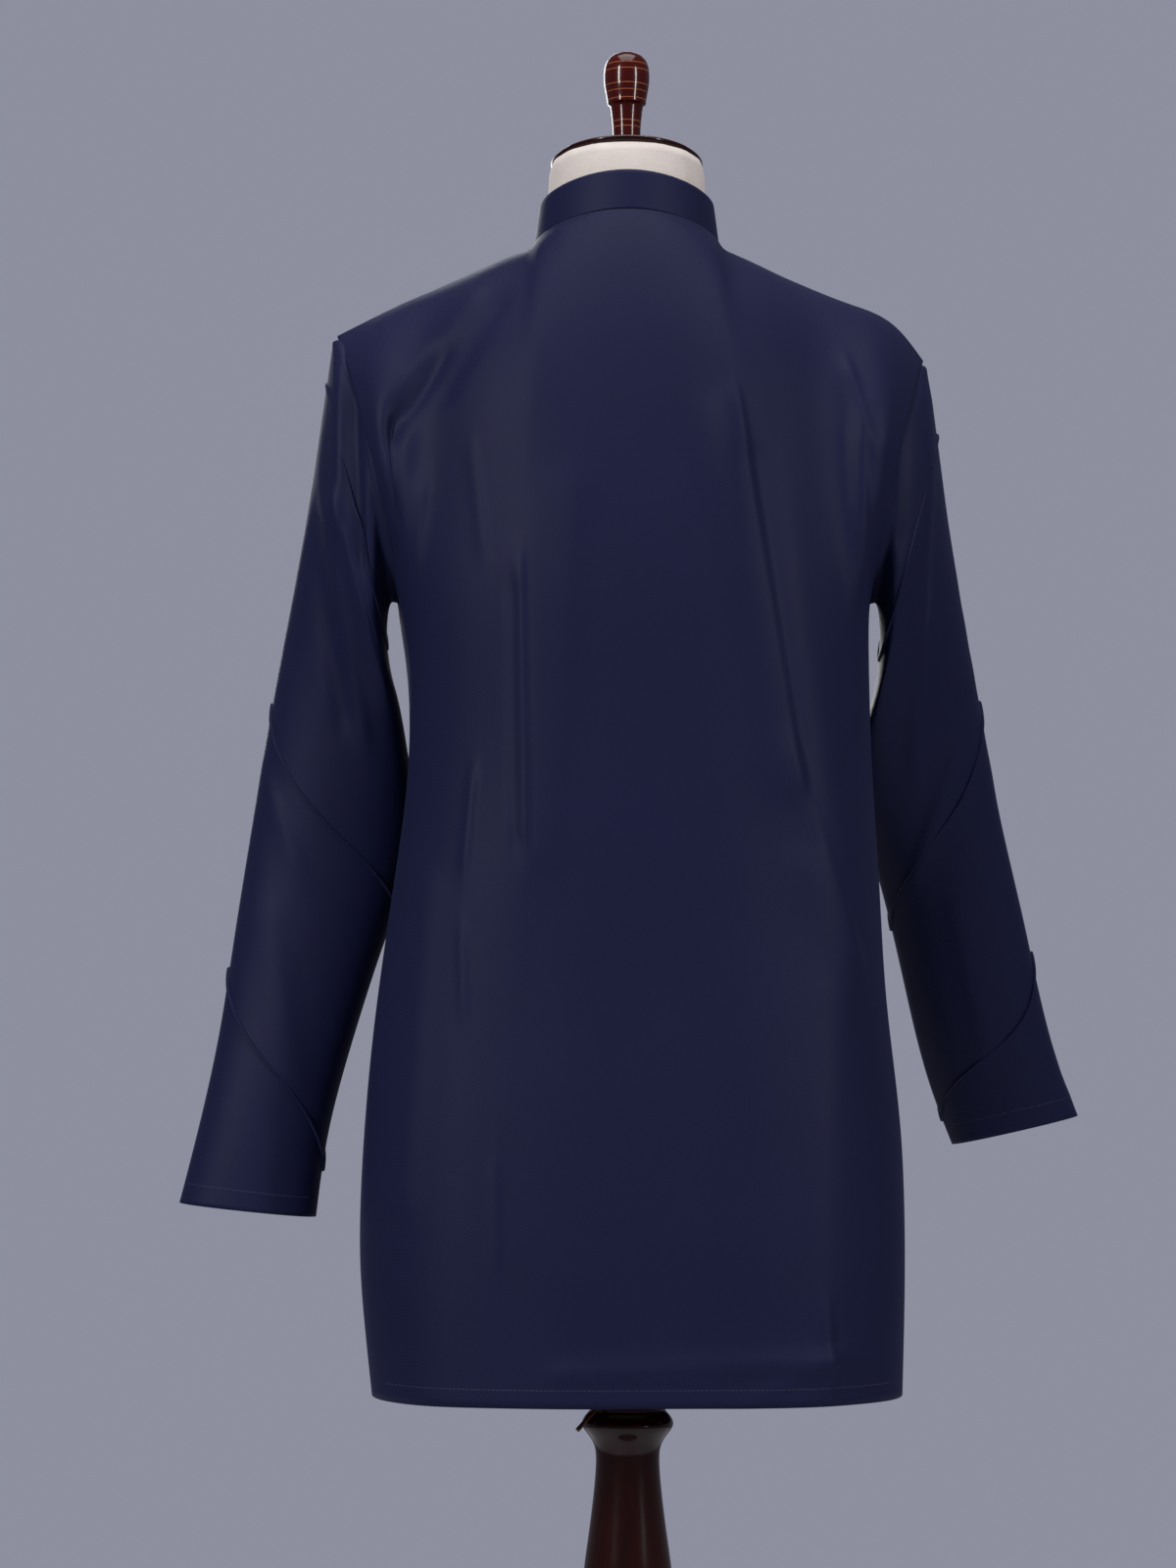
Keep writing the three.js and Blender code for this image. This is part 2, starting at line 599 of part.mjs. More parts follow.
function frontAcrossAt(x, down) {
  let [low, high] = [0, 0.4];
  for (let step = 0; step < 24; step += 1) {
    const middle = (low + high) / 2;
    if (smoothPanel(-1, middle, down).x < Math.abs(x)) low = middle;
    else high = middle;
  }
  return Math.sign(x) * low;
}

function placketGeometry() {
  const bottom = frontPlaceAtHeight(PLACKET.bottomHeight);
  const sides = [-1, -0.5, 0, 0.5, 1];
  const [outer, inner] = [[], []];
  for (let step = 0; step <= PLACKET.steps; step += 1) {
    const down = mix(PLACKET.top, bottom, step / PLACKET.steps);
    const feet = sides.map((share) => {
      const across = frontAcrossAt(share * PLACKET.halfWidth, down);
      const out = panelOutward(-1, across, down);
      return { point: panelPoint(-1, across, down), out };
    });
    inner.push(feet.map(({ point, out }) => point.clone().addScaledVector(out, PLACKET.clear)));
    outer.push(feet.map(({ point, out }) => point.clone().addScaledVector(out, PLACKET.clear + PLACKET.wall)));
  }
  return wallGeometry(outer, inner, false);
}

function buttonMesh(index) {
  const height = NECK.frontHeight - BUTTON.first - BUTTON.pitch * index;
  const down = frontPlaceAtHeight(height);
  const out = panelOutward(-1, 0, down);
  const foot = panelPoint(-1, 0, down).addScaledVector(out, PLACKET.clear + PLACKET.wall + BUTTON.clear);
  const { radius, height: thick, dish } = BUTTON;
  const profile = [
    [0, 0],
    [radius - 1, 0],
    [radius, 1],
    [radius, thick - 0.6],
    [radius - 0.8, thick],
    [radius - 2, thick],
    [radius - 2.8, thick - dish],
    [0, thick - dish],
  ];
  const geometry = new THREE.LatheGeometry(profile.map(([r, h]) => new THREE.Vector2(r, h)), 16);
  const button = new THREE.Mesh(geometry, materials.button);
  button.position.copy(foot);
  button.quaternion.setFromUnitVectors(new THREE.Vector3(0, 1, 0), out);
  return button;
}

// ---------------------------------------------------------------- the form and its stand
function torsoGeometry() {
  const rings = TORSO_LEVELS.map((level) =>
    Array.from({ length: TORSO_SIDES }, (_, side) => {
      const turn = (side / TORSO_SIDES) * 2 * Math.PI;
      const x = level.side * power(Math.cos(turn), 2 / TORSO_FULLNESS);
      const depth = Math.sin(turn) > 0 ? level.back : level.front;
      const y = depth * power(Math.sin(turn), 2 / TORSO_FULLNESS);
      return new THREE.Vector3(x, y, level.height + y * level.lift);
    }),
  );
  return loftGeometry(rings);
}

// A turned piece standing on +Z, from rows of height and radius.
function turnedGeometry(rows, slantBelow = -Infinity, slant = 0) {
  const points = rows.map(({ height, radius }) => new THREE.Vector2(radius, height));
  if (rows[0].radius > 0) points.unshift(new THREE.Vector2(0, rows[0].height));
  if (rows[rows.length - 1].radius > 0) points.push(new THREE.Vector2(0, rows[rows.length - 1].height));
  const geometry = new THREE.LatheGeometry(points, LATHE_SIDES).rotateX(Math.PI / 2);
  const position = geometry.getAttribute("position");
  for (let index = 0; index < position.count; index += 1) {
    if (position.getZ(index) < slantBelow) {
      position.setZ(index, position.getZ(index) + position.getY(index) * slant);
    }
  }
  return geometry;
}

function capGeometry() {
  const { radius, thickness, height, lift, crown } = CAP;
  const rows = [
    { height, radius: radius - 2 },
    { height: height + 1.5, radius: radius - 0.4 },
    { height: height + thickness - 1.5, radius },
    { height: height + thickness, radius: radius - 1.2 },
    { height: height + thickness + crown, radius: 26 },
  ];
  return turnedGeometry(rows, Infinity, lift);
}

function handleGeometry() {
  const rows = HANDLE_PROFILE.map(({ below, radius }) => ({ height: HANDLE_TOP - below, radius }));
  return turnedGeometry(rows, HANDLE_TOP - 74, CAP.lift);
}

function baseGeometry() {
  const { radius, height, edge } = BASE;
  const corner = (degrees) => ({
    height: height - edge + edge * Math.sin((degrees * Math.PI) / 180),
    radius: radius - edge + edge * Math.cos((degrees * Math.PI) / 180),
  });
  return turnedGeometry([{ height: 0, radius }, ...[0, 30, 60, 90].map(corner)]);
}

function pegMesh() {
  const outer = new THREE.Vector3(...PEG.outer);
  const inner = new THREE.Vector3(...PEG.inner);
  const length = outer.distanceTo(inner);
  const peg = new THREE.Mesh(new THREE.CylinderGeometry(PEG.radius, PEG.radius, length, 12), materials.peg);
  peg.position.copy(outer).lerp(inner, 0.5);
  peg.quaternion.setFromUnitVectors(new THREE.Vector3(0, 1, 0), outer.sub(inner).normalize());
  return peg;
}

// ---------------------------------------------------------------- materials and assembly
const matt = (color, roughness) => new THREE.MeshStandardMaterial({ color, roughness, metalness: 0 });
const materials = {
  cloth: matt(0x23264a, 0.75),
  tuck: matt(0x272b52, 0.75),
  button: matt(0x1d2040, 0.4),
  cover: matt(0xd9d0ca, 0.9),
  redWood: matt(0x5a1610, 0.15),
  darkWood: matt(0x26100d, 0.15),
  peg: matt(0x5b3a26, 0.5),
};

const part = new THREE.Group();
function add(name, mesh) {
  mesh.name = name;
  part.add(mesh);
}

add("kurta_back", new THREE.Mesh(panelGeometry(1), materials.cloth));
add("kurta_front", new THREE.Mesh(panelGeometry(-1), materials.cloth));
add("collar", new THREE.Mesh(collarGeometry(), materials.cloth));
for (const side of ["left", "right"]) {
  add(`sleeve_${side}`, new THREE.Mesh(sleeveGeometry(side), materials.cloth));
  for (const tuck of TUCKS[side]) {
    add(`tuck_${side}_${tuck.name}`, new THREE.Mesh(tuckGeometry(side, tuck), materials.tuck));
  }
}
add("placket", new THREE.Mesh(placketGeometry(), materials.cloth));
for (let index = 0; index < BUTTON.count; index += 1) add(`button_${index + 1}`, buttonMesh(index));
add("form_torso", new THREE.Mesh(torsoGeometry(), materials.cover));
add("neck_cap", new THREE.Mesh(capGeometry(), materials.darkWood));
add("handle", new THREE.Mesh(handleGeometry(), materials.redWood));
add("pillar", new THREE.Mesh(turnedGeometry(PILLAR_PROFILE), materials.darkWood));
add("base", new THREE.Mesh(baseGeometry(), materials.darkWood));
add("lock_peg", pegMesh());

export default part;
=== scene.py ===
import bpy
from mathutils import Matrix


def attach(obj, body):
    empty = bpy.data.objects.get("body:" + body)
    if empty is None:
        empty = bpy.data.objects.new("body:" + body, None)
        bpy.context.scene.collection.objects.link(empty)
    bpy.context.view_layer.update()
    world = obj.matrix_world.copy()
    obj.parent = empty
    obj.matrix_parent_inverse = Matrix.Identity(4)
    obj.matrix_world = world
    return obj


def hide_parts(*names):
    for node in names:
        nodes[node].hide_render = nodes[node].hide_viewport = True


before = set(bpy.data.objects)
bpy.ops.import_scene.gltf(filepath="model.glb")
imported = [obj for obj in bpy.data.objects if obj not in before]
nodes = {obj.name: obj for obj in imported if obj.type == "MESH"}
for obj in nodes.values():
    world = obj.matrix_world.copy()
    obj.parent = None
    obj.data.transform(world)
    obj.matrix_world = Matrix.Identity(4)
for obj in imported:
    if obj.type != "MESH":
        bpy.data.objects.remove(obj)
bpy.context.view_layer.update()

# %% [markdown]
# # A navy short kurta on a dress form
# The frame already holds every piece at its true size, as plain stiff walls. Here each one gets
# its looks: fine smooth cloth with creases and stitching, and varnish on the turned wood.
# Lengths are metres, +Z is up, the wearer faces -Y and the wearer's left is +X.

# %% imports and starting size
import math

import bmesh
import bpy
from mathutils import Vector
from mathutils.bvhtree import BVHTree

CLOTH_THICKNESS = 0.0009
COLLECTION = bpy.context.scene.collection
print("pieces in the frame:", len(nodes))

# %% [markdown]
# ## Writing shader maths as sums
# A node tree reads best as a formula. This class holds one socket, so that `a * 2 + b` adds the
# Math nodes for it.


# %% socket expressions
class Value:
    def __init__(self, tree, socket):
        self.tree = tree
        self.socket = socket

    def node(self, kind, settings=None, inputs=None, output=0):
        made = self.tree.nodes.new(kind)
        for name, setting in (settings or {}).items():
            setattr(made, name, setting)
        for name, value in (inputs or {}).items():
            if isinstance(value, Value):
                self.tree.links.new(value.socket, made.inputs[name])
            else:
                made.inputs[name].default_value = value
        return Value(self.tree, made.outputs[output])

    def math(self, operation, first, second=0.0):
        return self.node("ShaderNodeMath", {"operation": operation}, {0: first, 1: second})

    def __add__(self, other):
        return self.math("ADD", self, other)

    def __mul__(self, other):
        return self.math("MULTIPLY", self, other)

    __radd__ = __add__
    __rmul__ = __mul__

    def blend(self, low, high):
        return self.node("ShaderNodeMix", {"data_type": "RGBA"}, {0: self, 6: low, 7: high}, 2)


def new_material(name, **constants):
    material = bpy.data.materials.new(name)
    material.use_nodes = True
    tree = material.node_tree
    shader = tree.nodes["Principled BSDF"]
    for key, value in constants.items():
        shader.inputs[key.replace("_", " ")].default_value = value
    place = Value(tree, tree.nodes.new("ShaderNodeTexCoord").outputs["Object"])
    return material, tree, shader, place


def finish_material(tree, shader, color, roughness, height, depth):
    tree.links.new(color.socket, shader.inputs["Base Color"])
    tree.links.new(roughness.socket, shader.inputs["Roughness"])
    bump = height.node("ShaderNodeBump", None, {"Height": height, "Distance": depth, "Strength": 0.6})
    tree.links.new(bump.socket, shader.inputs["Normal"])


def noise(place, scale, detail=3.0, stretch=(1, 1, 1)):
    spread = place.node("ShaderNodeMapping", None, {"Vector": place, "Scale": stretch})
    return place.node("ShaderNodeTexNoise", None, {"Vector": spread, "Scale": scale, "Detail": detail})


# %% [markdown]
# ## Navy crepe
# The cloth is a smooth, close twill with a soft sheen. One fine set of slanting lines makes the
# twill, and a slow cloudiness keeps the colour from looking printed.


# %% the cloth material
def twill(place, scale):
    settings = {"wave_type": "BANDS", "bands_direction": "DIAGONAL"}
    inputs = {"Vector": place, "Scale": scale, "Distortion": 0.6}
    return place.node("ShaderNodeTexWave", settings, inputs, 1)


def navy_crepe():
    material, tree, shader, place = new_material(
        "navy_crepe", Sheen_Weight=0.05, Sheen_Roughness=0.4, Specular_IOR_Level=0.13
    )
    shader.inputs["Sheen Tint"].default_value = (0.30, 0.34, 0.70, 1)
    cloud = noise(place, 9.0, 4.0)
    grain = noise(place, 1400.0, 2.0)
    lines = twill(place, 260.0)
    shade = cloud * 0.6 + grain * 0.25 + lines * 0.15
    color = shade.blend((0.0072, 0.0085, 0.0345, 1), (0.0118, 0.0140, 0.0540, 1))
    finish_material(tree, shader, color, cloud * 0.08 + 0.52, lines * 0.6 + grain * 0.4, 0.00012)
    return material


CREPE = navy_crepe()
print("made", CREPE.name)

# %% [markdown]
# ## Thread, linen, varnish and buttons
# The form's neck wears pale linen. The stand, cap and handle are turned wood under a thick gloss:
# nearly black on the stand and a clear red on the handle, where the tool's grooves show pale.


# %% the other materials
def stitched_thread():
    material, tree, shader, place = new_material("navy_thread", Specular_IOR_Level=0.2)
    twist = noise(place, 2500.0)
    color = twist.blend((0.022, 0.024, 0.062, 1), (0.045, 0.048, 0.10, 1))
    finish_material(tree, shader, color, twist * 0.1 + 0.5, twist, 0.0001)
    return material


def pale_linen():
    material, tree, shader, place = new_material("pale_linen", Sheen_Weight=0.15)
    mottle = noise(place, 60.0, 5.0)
    threads = noise(place, 700.0, 2.0, (1, 1, 0.25)) + noise(place, 700.0, 2.0, (0.25, 0.25, 1))
    color = (mottle * 0.7 + threads * 0.15).blend((0.60, 0.52, 0.47, 1), (0.80, 0.73, 0.69, 1))
    finish_material(tree, shader, color, mottle * 0.05 + 0.85, threads, 0.0003)
    return material


GROOVE_HALF = 0.0003
GROOVE_TAN = (0.30, 0.10, 0.04, 1)


def varnished_wood(name, dark, light, grooves=()):
    material, tree, shader, place = new_material(
        name, Coat_Roughness=0.02, Coat_Weight=0.45, Specular_IOR_Level=0.15
    )
    streaks = noise(place, 90.0, 5.0, (1, 1, 0.06))
    pores = noise(place, 500.0, 2.0, (1, 1, 0.1))
    color = (streaks * 0.8 + pores * 0.2).blend(dark, light)
    along = place.node("ShaderNodeSeparateXYZ", None, {"Vector": place}, 2)
    for middle in grooves:
        inputs = {0: along, 1: middle, 2: GROOVE_HALF}
        line = place.node("ShaderNodeMath", {"operation": "COMPARE"}, inputs)
        color = line.blend(color, GROOVE_TAN)
    finish_material(tree, shader, color, pores * 0.1 + 0.16, streaks * 0.5 + pores * 0.5, 0.00003)
    return material


def gloss_button():
    material, tree, shader, place = new_material("navy_button")
    swirl = noise(place, 220.0, 4.0)
    color = swirl.blend((0.010, 0.012, 0.030, 1), (0.022, 0.025, 0.055, 1))
    finish_material(tree, shader, color, swirl * 0.1 + 0.2, swirl, 0.00005)
    return material


THREAD = stitched_thread()
LINEN = pale_linen()
DARK_WOOD = varnished_wood("dark_wood", (0.004, 0.0006, 0.0006, 1), (0.030, 0.0025, 0.0015, 1))
HANDLE_TOP = 1.624
HANDLE_GROOVES = [HANDLE_TOP - below / 1000 for below in (11, 16, 27, 32, 38, 54.5, 59)]
RED_WOOD = varnished_wood(
    "red_wood", (0.022, 0.0012, 0.0010, 1), (0.085, 0.005, 0.003, 1), HANDLE_GROOVES
)
PEG_WOOD = varnished_wood("peg_wood", (0.035, 0.013, 0.006, 1), (0.09, 0.035, 0.018, 1))
BUTTON = gloss_button()
print("made", len(bpy.data.materials), "materials")

# %% [markdown]
# ## From a stiff wall to fine cloth
# A wall in the frame has an outer skin, an inner skin and a narrow rim between them. Taking the
# rim off leaves two sheets. The outer one is turned back into squares, made finer, creased, and
# given a real cloth's thickness.


# %% mesh helpers
def squared_copy(node):
    mesh = bmesh.new()
    mesh.from_mesh(nodes[node].data)
    mesh.transform(nodes[node].matrix_world)
    bmesh.ops.remove_doubles(mesh, verts=mesh.verts, dist=1e-6)
    bmesh.ops.join_triangles(
        mesh,
        faces=mesh.faces,
        angle_face_threshold=math.radians(60),
        angle_shape_threshold=math.radians(80),
    )
    return mesh


def keep_outer_skin(mesh, rim):
    narrow = [f for f in mesh.faces if min(edge.calc_length() for edge in f.edges) < rim]
    bmesh.ops.delete(mesh, geom=narrow, context="FACES")
    mesh.normal_update()
    left = set(mesh.faces)
    skins = []
    while left:
        skin, queue = [], [left.pop()]
        while queue:
            face = queue.pop()
            skin.append(face)
            for near in {n for edge in face.edges for n in edge.link_faces} & left:
                left.discard(near)
                queue.append(near)
        skins.append(skin)
    skins = sorted(skins, key=len)[-2:]
    middle = sum((f.calc_center_median() for f in skins[-1]), Vector()) / len(skins[-1])

    def facing_out(skin):
        return sum((f.calc_center_median() - middle).dot(f.normal) * f.calc_area() for f in skin)

    outer = set(max(skins, key=facing_out))
    bmesh.ops.delete(mesh, geom=[f for f in mesh.faces if f not in outer], context="FACES")


def hold_corners(mesh, sharpest=35):
    crease = mesh.verts.layers.float.new("crease_vert")
    for vertex in mesh.verts:
        ends = [e.other_vert(vertex).co - vertex.co for e in vertex.link_edges if e.is_boundary]
        if len(ends) == 2 and math.degrees(ends[0].angle(-ends[1])) > sharpest:
            vertex[crease] = 1.0


SLEEVE_HEAD_FLOOR = 1.15
SEAM_ALLOWANCE = 0.006
SEAM_GATHER = 0.35  # share of the allowance by which the turned-in edge is drawn tighter


def turn_in_seam(mesh, side):
    """The seam allowance of a sleeve's head, turned in under the body panels."""
    open_edges = [e for e in mesh.edges if e.is_boundary]
    edges = [e for e in open_edges if min(v.co.z for v in e.verts) > SLEEVE_HEAD_FLOOR]
    rim = {v for e in edges for v in e.verts}
    middle = sum((v.co for v in rim), Vector()) / len(rim)
    made = bmesh.ops.extrude_edge_only(mesh, edges=edges)["geom"]
    for vertex in [v for v in made if isinstance(v, bmesh.types.BMVert)]:
        inward = (middle - vertex.co).normalized()
        vertex.co += inward * SEAM_ALLOWANCE * SEAM_GATHER - Vector((side * SEAM_ALLOWANCE, 0, 0))


def place_piece(name, mesh, material, node):
    data = bpy.data.meshes.new(name)
    mesh.to_mesh(data)
    mesh.free()
    data.materials.append(material)
    data.shade_smooth()
    piece = bpy.data.objects.new(name, data)
    COLLECTION.objects.link(piece)
    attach(piece, "root")
    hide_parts(node)
    return piece


def apply_modifier(piece, kind, **settings):
    modifier = piece.modifiers.new(kind, kind)
    for key, value in settings.items():
        setattr(modifier, key, value)
    with bpy.context.temp_override(object=piece, active_object=piece, selected_objects=[piece]):
        bpy.ops.object.modifier_apply(modifier=modifier.name)


# %% [markdown]
# ## The creases
# Each crease is a soft line on the hanging cloth, seen from behind (or from in front): where it
# starts and ends, how wide it is on its steep side and its soft side, and how far it stands out.
# Troughs are negative. No two are alike, because a hanging shirt never folds evenly.

# %% crease tables: x and z of both ends, reach to the wearer's left and right, height, in mm
BACK_CREASES = [
    ("long slanting edge", -80, 1330, -124, 1065, 4, 20, 3.4),
    ("long slanting edge, lower part", -122, 1075, -166, 935, 6, 22, 2.6),
    ("hollow beside the slanting edge", -96, 1290, -132, 1020, 12, 18, -3.0),
    ("right armhole pull", -166, 1360, -177, 1322, 4, 9, 3.0),
    ("right armhole drop", -172, 1310, -176, 1110, 4, 10, 3.2),
    ("left shoulder curve", 118, 1418, 158, 1362, 9, 14, 3.2),
    ("left shoulder hollow", 100, 1408, 134, 1352, 8, 12, -2.6),
    ("left armhole hollow, upper", 142, 1372, 171, 1322, 7, 8, -5.0),
    ("left armhole hollow, lower", 172, 1325, 174, 1240, 6, 9, -6.5),
    ("left side edge", 152, 1270, 160, 1190, 5, 12, 2.2),
    ("left waist pull", 78, 1205, 75, 1030, 3, 10, 2.6),
    ("left waist hollow", 84, 1190, 82, 1020, 8, 5, -2.2),
    ("short sharp crease", 113, 1052, 117, 1008, 2, 5, 2.4),
    ("shorter sharp crease below it", 120, 940, 119, 905, 2, 4, 1.6),
    ("left blade line", 112, 1292, 106, 1240, 3, 6, 1.2),
    ("wide middle fall", 40, 1270, 58, 1010, 14, 22, 1.8),
    ("left skirt fall", 148, 980, 163, 760, 12, 24, 3.0),
    ("right skirt fall", -150, 900, -140, 640, 20, 16, 2.4),
    ("small skirt crease", 96, 772, 95, 722, 3, 5, 1.2),
    ("hem fold", -140, 640, 40, 632, 4, 9, 3.2),
    ("hem fold corner", -142, 668, -144, 636, 3, 5, 2.2),
    ("hem fold branch", -95, 618, -140, 640, 4, 6, 1.8),
]
FRONT_CREASES = [
    ("right chest fall", -86, 1330, -120, 1040, 6, 20, 3.0),
    ("left chest fall", 92, 1340, 112, 1090, 16, 5, 2.8),
    ("left armhole hollow", 160, 1350, 166, 1250, 7, 10, -4.0),
    ("right armhole hollow", -166, 1350, -170, 1240, 9, 7, -4.0),
    ("waist pull", 60, 1160, 84, 1030, 4, 9, 2.0),
    ("middle skirt fall", -42, 930, -56, 640, 18, 12, 2.4),
    ("left skirt fall", 132, 900, 150, 650, 12, 20, 2.8),
    ("hem crease", 30, 650, 120, 640, 4, 8, 1.8),
]
LEFT_SLEEVE_CREASES = [
    ("sharp upright pleat", 214, 1385, 214, 1268, 3, 9, 3.4),
    ("pleat running out to the body", 214, 1268, 184, 1140, 3, 12, 3.2),
    ("hollow inside the pleat", 204, 1340, 200, 1240, 5, 5, -4.2),
    ("long bright ridge", 228, 1288, 200, 1108, 6, 7, 2.8),
    ("hollow outside the ridge", 238, 1250, 216, 1120, 9, 7, -2.6),
    ("elbow crease", 276, 1075, 250, 1010, 4, 10, 1.6),
    ("forearm fall", 270, 960, 252, 850, 10, 16, 1.8),
]
RIGHT_SLEEVE_CREASES = [
    ("upright strip edge", -229, 1350, -222, 1200, 5, 7, 2.4),
    ("strip edge, lower part", -222, 1200, -224, 1090, 5, 8, 2.2),
    ("hollow by the armhole", -206, 1340, -202, 1250, 7, 6, -4.0),
    ("elbow crease", -250, 1080, -228, 1010, 10, 4, 1.8),
    ("forearm fall", -262, 970, -286, 870, 14, 10, 1.8),
]
END_SOFTNESS = 0.018


def crease_height(creases, point):
    height = 0.0
    for _, x0, z0, x1, z1, left, right, rise in creases:
        along = Vector((x1 - x0, z1 - z0)) / 1000
        offset = Vector((point.x - x0 / 1000, point.z - z0 / 1000))
        length = along.length
        run = offset.dot(along) / length
        aside = (offset.x * along.y - offset.y * along.x) / length
        reach = (left if aside * -along.y > 0 else right) / 1000
        beyond = max(0.0, -run, run - length) / END_SOFTNESS
        height += rise / 1000 * math.exp(-((aside / reach) ** 2) - beyond * beyond)
    return height


def crease_cloth(piece, tables):
    data = piece.data
    moves = []
    for vertex in data.vertices:
        creases = tables["back"] if vertex.normal.y > 0 else tables["front"]
        facing = min(1.0, abs(vertex.normal.y) * 1.6)
        moves.append(vertex.normal * crease_height(creases, vertex.co) * facing)
    for vertex, move in zip(data.vertices, moves):
        vertex.co += move
    data.update()


# %% [markdown]
# ## Cutting the cloth pieces
# Every piece of cloth goes through the same steps, so one function makes them all.


# %% make the cloth
def cloth_piece(name, node, tables, rim=0.0023, levels=3, armhole_side=0):
    mesh = squared_copy(node)
    keep_outer_skin(mesh, rim)
    if armhole_side:
        turn_in_seam(mesh, armhole_side)
    hold_corners(mesh)
    piece = place_piece(name, mesh, CREPE, node)
    apply_modifier(piece, "SUBSURF", levels=levels, boundary_smooth="PRESERVE_CORNERS")
    crease_cloth(piece, tables)
    apply_modifier(piece, "SOLIDIFY", thickness=CLOTH_THICKNESS, offset=-1.0)
    piece.data.shade_smooth()
    print(name, len(piece.data.polygons), "faces")
    return piece


PLAIN = {"back": [], "front": []}
back = cloth_piece("back_cloth", "kurta_back", {"back": BACK_CREASES, "front": []})
front = cloth_piece("front_cloth", "kurta_front", {"back": [], "front": FRONT_CREASES})
collar = cloth_piece("collar_cloth", "collar", PLAIN)
placket = cloth_piece("placket_cloth", "placket", PLAIN, rim=0.0018, levels=2)
left_tables = {"back": LEFT_SLEEVE_CREASES, "front": LEFT_SLEEVE_CREASES}
right_tables = {"back": RIGHT_SLEEVE_CREASES, "front": RIGHT_SLEEVE_CREASES}
left_sleeve = cloth_piece("left_sleeve_cloth", "sleeve_left", left_tables, armhole_side=1)
right_sleeve = cloth_piece("right_sleeve_cloth", "sleeve_right", right_tables, armhole_side=-1)

# %% [markdown]
# ## Rounding the tucks and the turned wood
# A tuck is a narrow stitched fold, so its ridge is rounded. Turned pieces are round about their
# own axis, but keep the crisp steps that the turner's chisel left.


# %% rounded pieces
def rounded_piece(name, node, material, levels=2, crease_over=None):
    mesh = squared_copy(node)
    if crease_over is not None:
        crease = mesh.edges.layers.float.new("crease_edge")
        for edge in mesh.edges:
            if len(edge.link_faces) == 2 and edge.calc_face_angle() > math.radians(crease_over):
                edge[crease] = 0.9
    piece = place_piece(name, mesh, material, node)
    apply_modifier(piece, "SUBSURF", levels=levels)
    piece.data.shade_smooth()
    return piece


TUCK_CREST = 0.0022
TUCK_FOOT = -0.0008


def tuck_on_sleeve(name, node, sleeve):
    """The tuck's ridge laid on the finished sleeve, its feet just under the cloth."""
    finder = BVHTree.FromObject(sleeve, bpy.context.evaluated_depsgraph_get())
    mesh = squared_copy(node)
    bmesh.ops.subdivide_edges(mesh, edges=mesh.edges, cuts=2, use_grid_fill=True)
    near = {vertex: finder.find_nearest(vertex.co) for vertex in mesh.verts}
    heights = sorted(hit[3] for hit in near.values())
    low, high = heights[len(heights) // 10], heights[-len(heights) // 10]
    for vertex, (spot, _, _, distance) in near.items():
        rise = min(1.0, max(0.0, (distance - low) / (high - low)))
        away = (vertex.co - spot).normalized()
        vertex.co = spot + away * (TUCK_FOOT + (TUCK_CREST - TUCK_FOOT) * rise)
    piece = place_piece(name, mesh, CREPE, node)
    apply_modifier(piece, "SUBSURF", levels=1)
    piece.data.shade_smooth()


for side, sleeve in (("left", left_sleeve), ("right", right_sleeve)):
    for number in (1, 2, 3):
        tuck_on_sleeve(f"{side}_tuck_fold_{number}", f"tuck_{side}_{number}", sleeve)
rounded_piece("linen_form", "form_torso", LINEN, crease_over=60)
rounded_piece("turned_cap", "neck_cap", DARK_WOOD, crease_over=50)
rounded_piece("turned_handle", "handle", RED_WOOD, levels=3, crease_over=40)
rounded_piece("turned_pillar", "pillar", DARK_WOOD, levels=3, crease_over=45)
rounded_piece("round_foot", "base", DARK_WOOD, crease_over=60)
rounded_piece("peg_lever", "lock_peg", PEG_WOOD, crease_over=60)
for number in (1, 2, 3):
    rounded_piece(f"shirt_button_{number}", f"button_{number}", BUTTON, crease_over=30)

# %% [markdown]
# ## Rows of stitching
# A machine stitch is a short bead of thread. Each row is dropped onto the cloth along a level or
# slanting line, so it follows every crease, and all the beads of a row are one mesh.

# %% stitches
STITCH_LENGTH = 0.0022
STITCH_PITCH = 0.0031
STITCH_WIDTH = 0.00035
FAR_OFF = 0.4


def stitch_row(name, cloth, start, end, look):
    """Beads from start to end, each dropped onto the cloth from far off along look."""
    finder = BVHTree.FromObject(cloth, bpy.context.evaluated_depsgraph_get())
    start, end, look = Vector(start), Vector(end), Vector(look)
    count = int((end - start).length / STITCH_PITCH)
    mesh = bmesh.new()
    for index in range(count):
        spots = []
        for part in (-0.5, 0.5):
            share = (index + 0.5 + part * STITCH_LENGTH / STITCH_PITCH) / count
            hit = finder.ray_cast(start.lerp(end, share) - look * FAR_OFF, look)
            spots.append((hit[0], hit[1]))
        if any(spot is None for spot, _ in spots):
            continue
        (tail, normal), (head, _) = spots
        along = (head - tail).normalized()
        if (head - tail).length > 2 * STITCH_LENGTH:
            continue
        aside = along.cross(normal).normalized() * STITCH_WIDTH
        top = normal * STITCH_WIDTH * 0.8
        ring = [tail - aside, tail + top, tail + aside, head - aside, head + top, head + aside]
        a, b, c, d, e, f = [mesh.verts.new(point) for point in ring]
        for face in ((a, b, e, d), (b, c, f, e), (c, a, d, f), (a, c, b), (d, e, f)):
            mesh.faces.new(face)
    data = bpy.data.meshes.new(name)
    mesh.to_mesh(data)
    mesh.free()
    data.materials.append(THREAD)
    row = bpy.data.objects.new(name, data)
    COLLECTION.objects.link(row)
    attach(row, "root")
    print(name, count, "stitches")


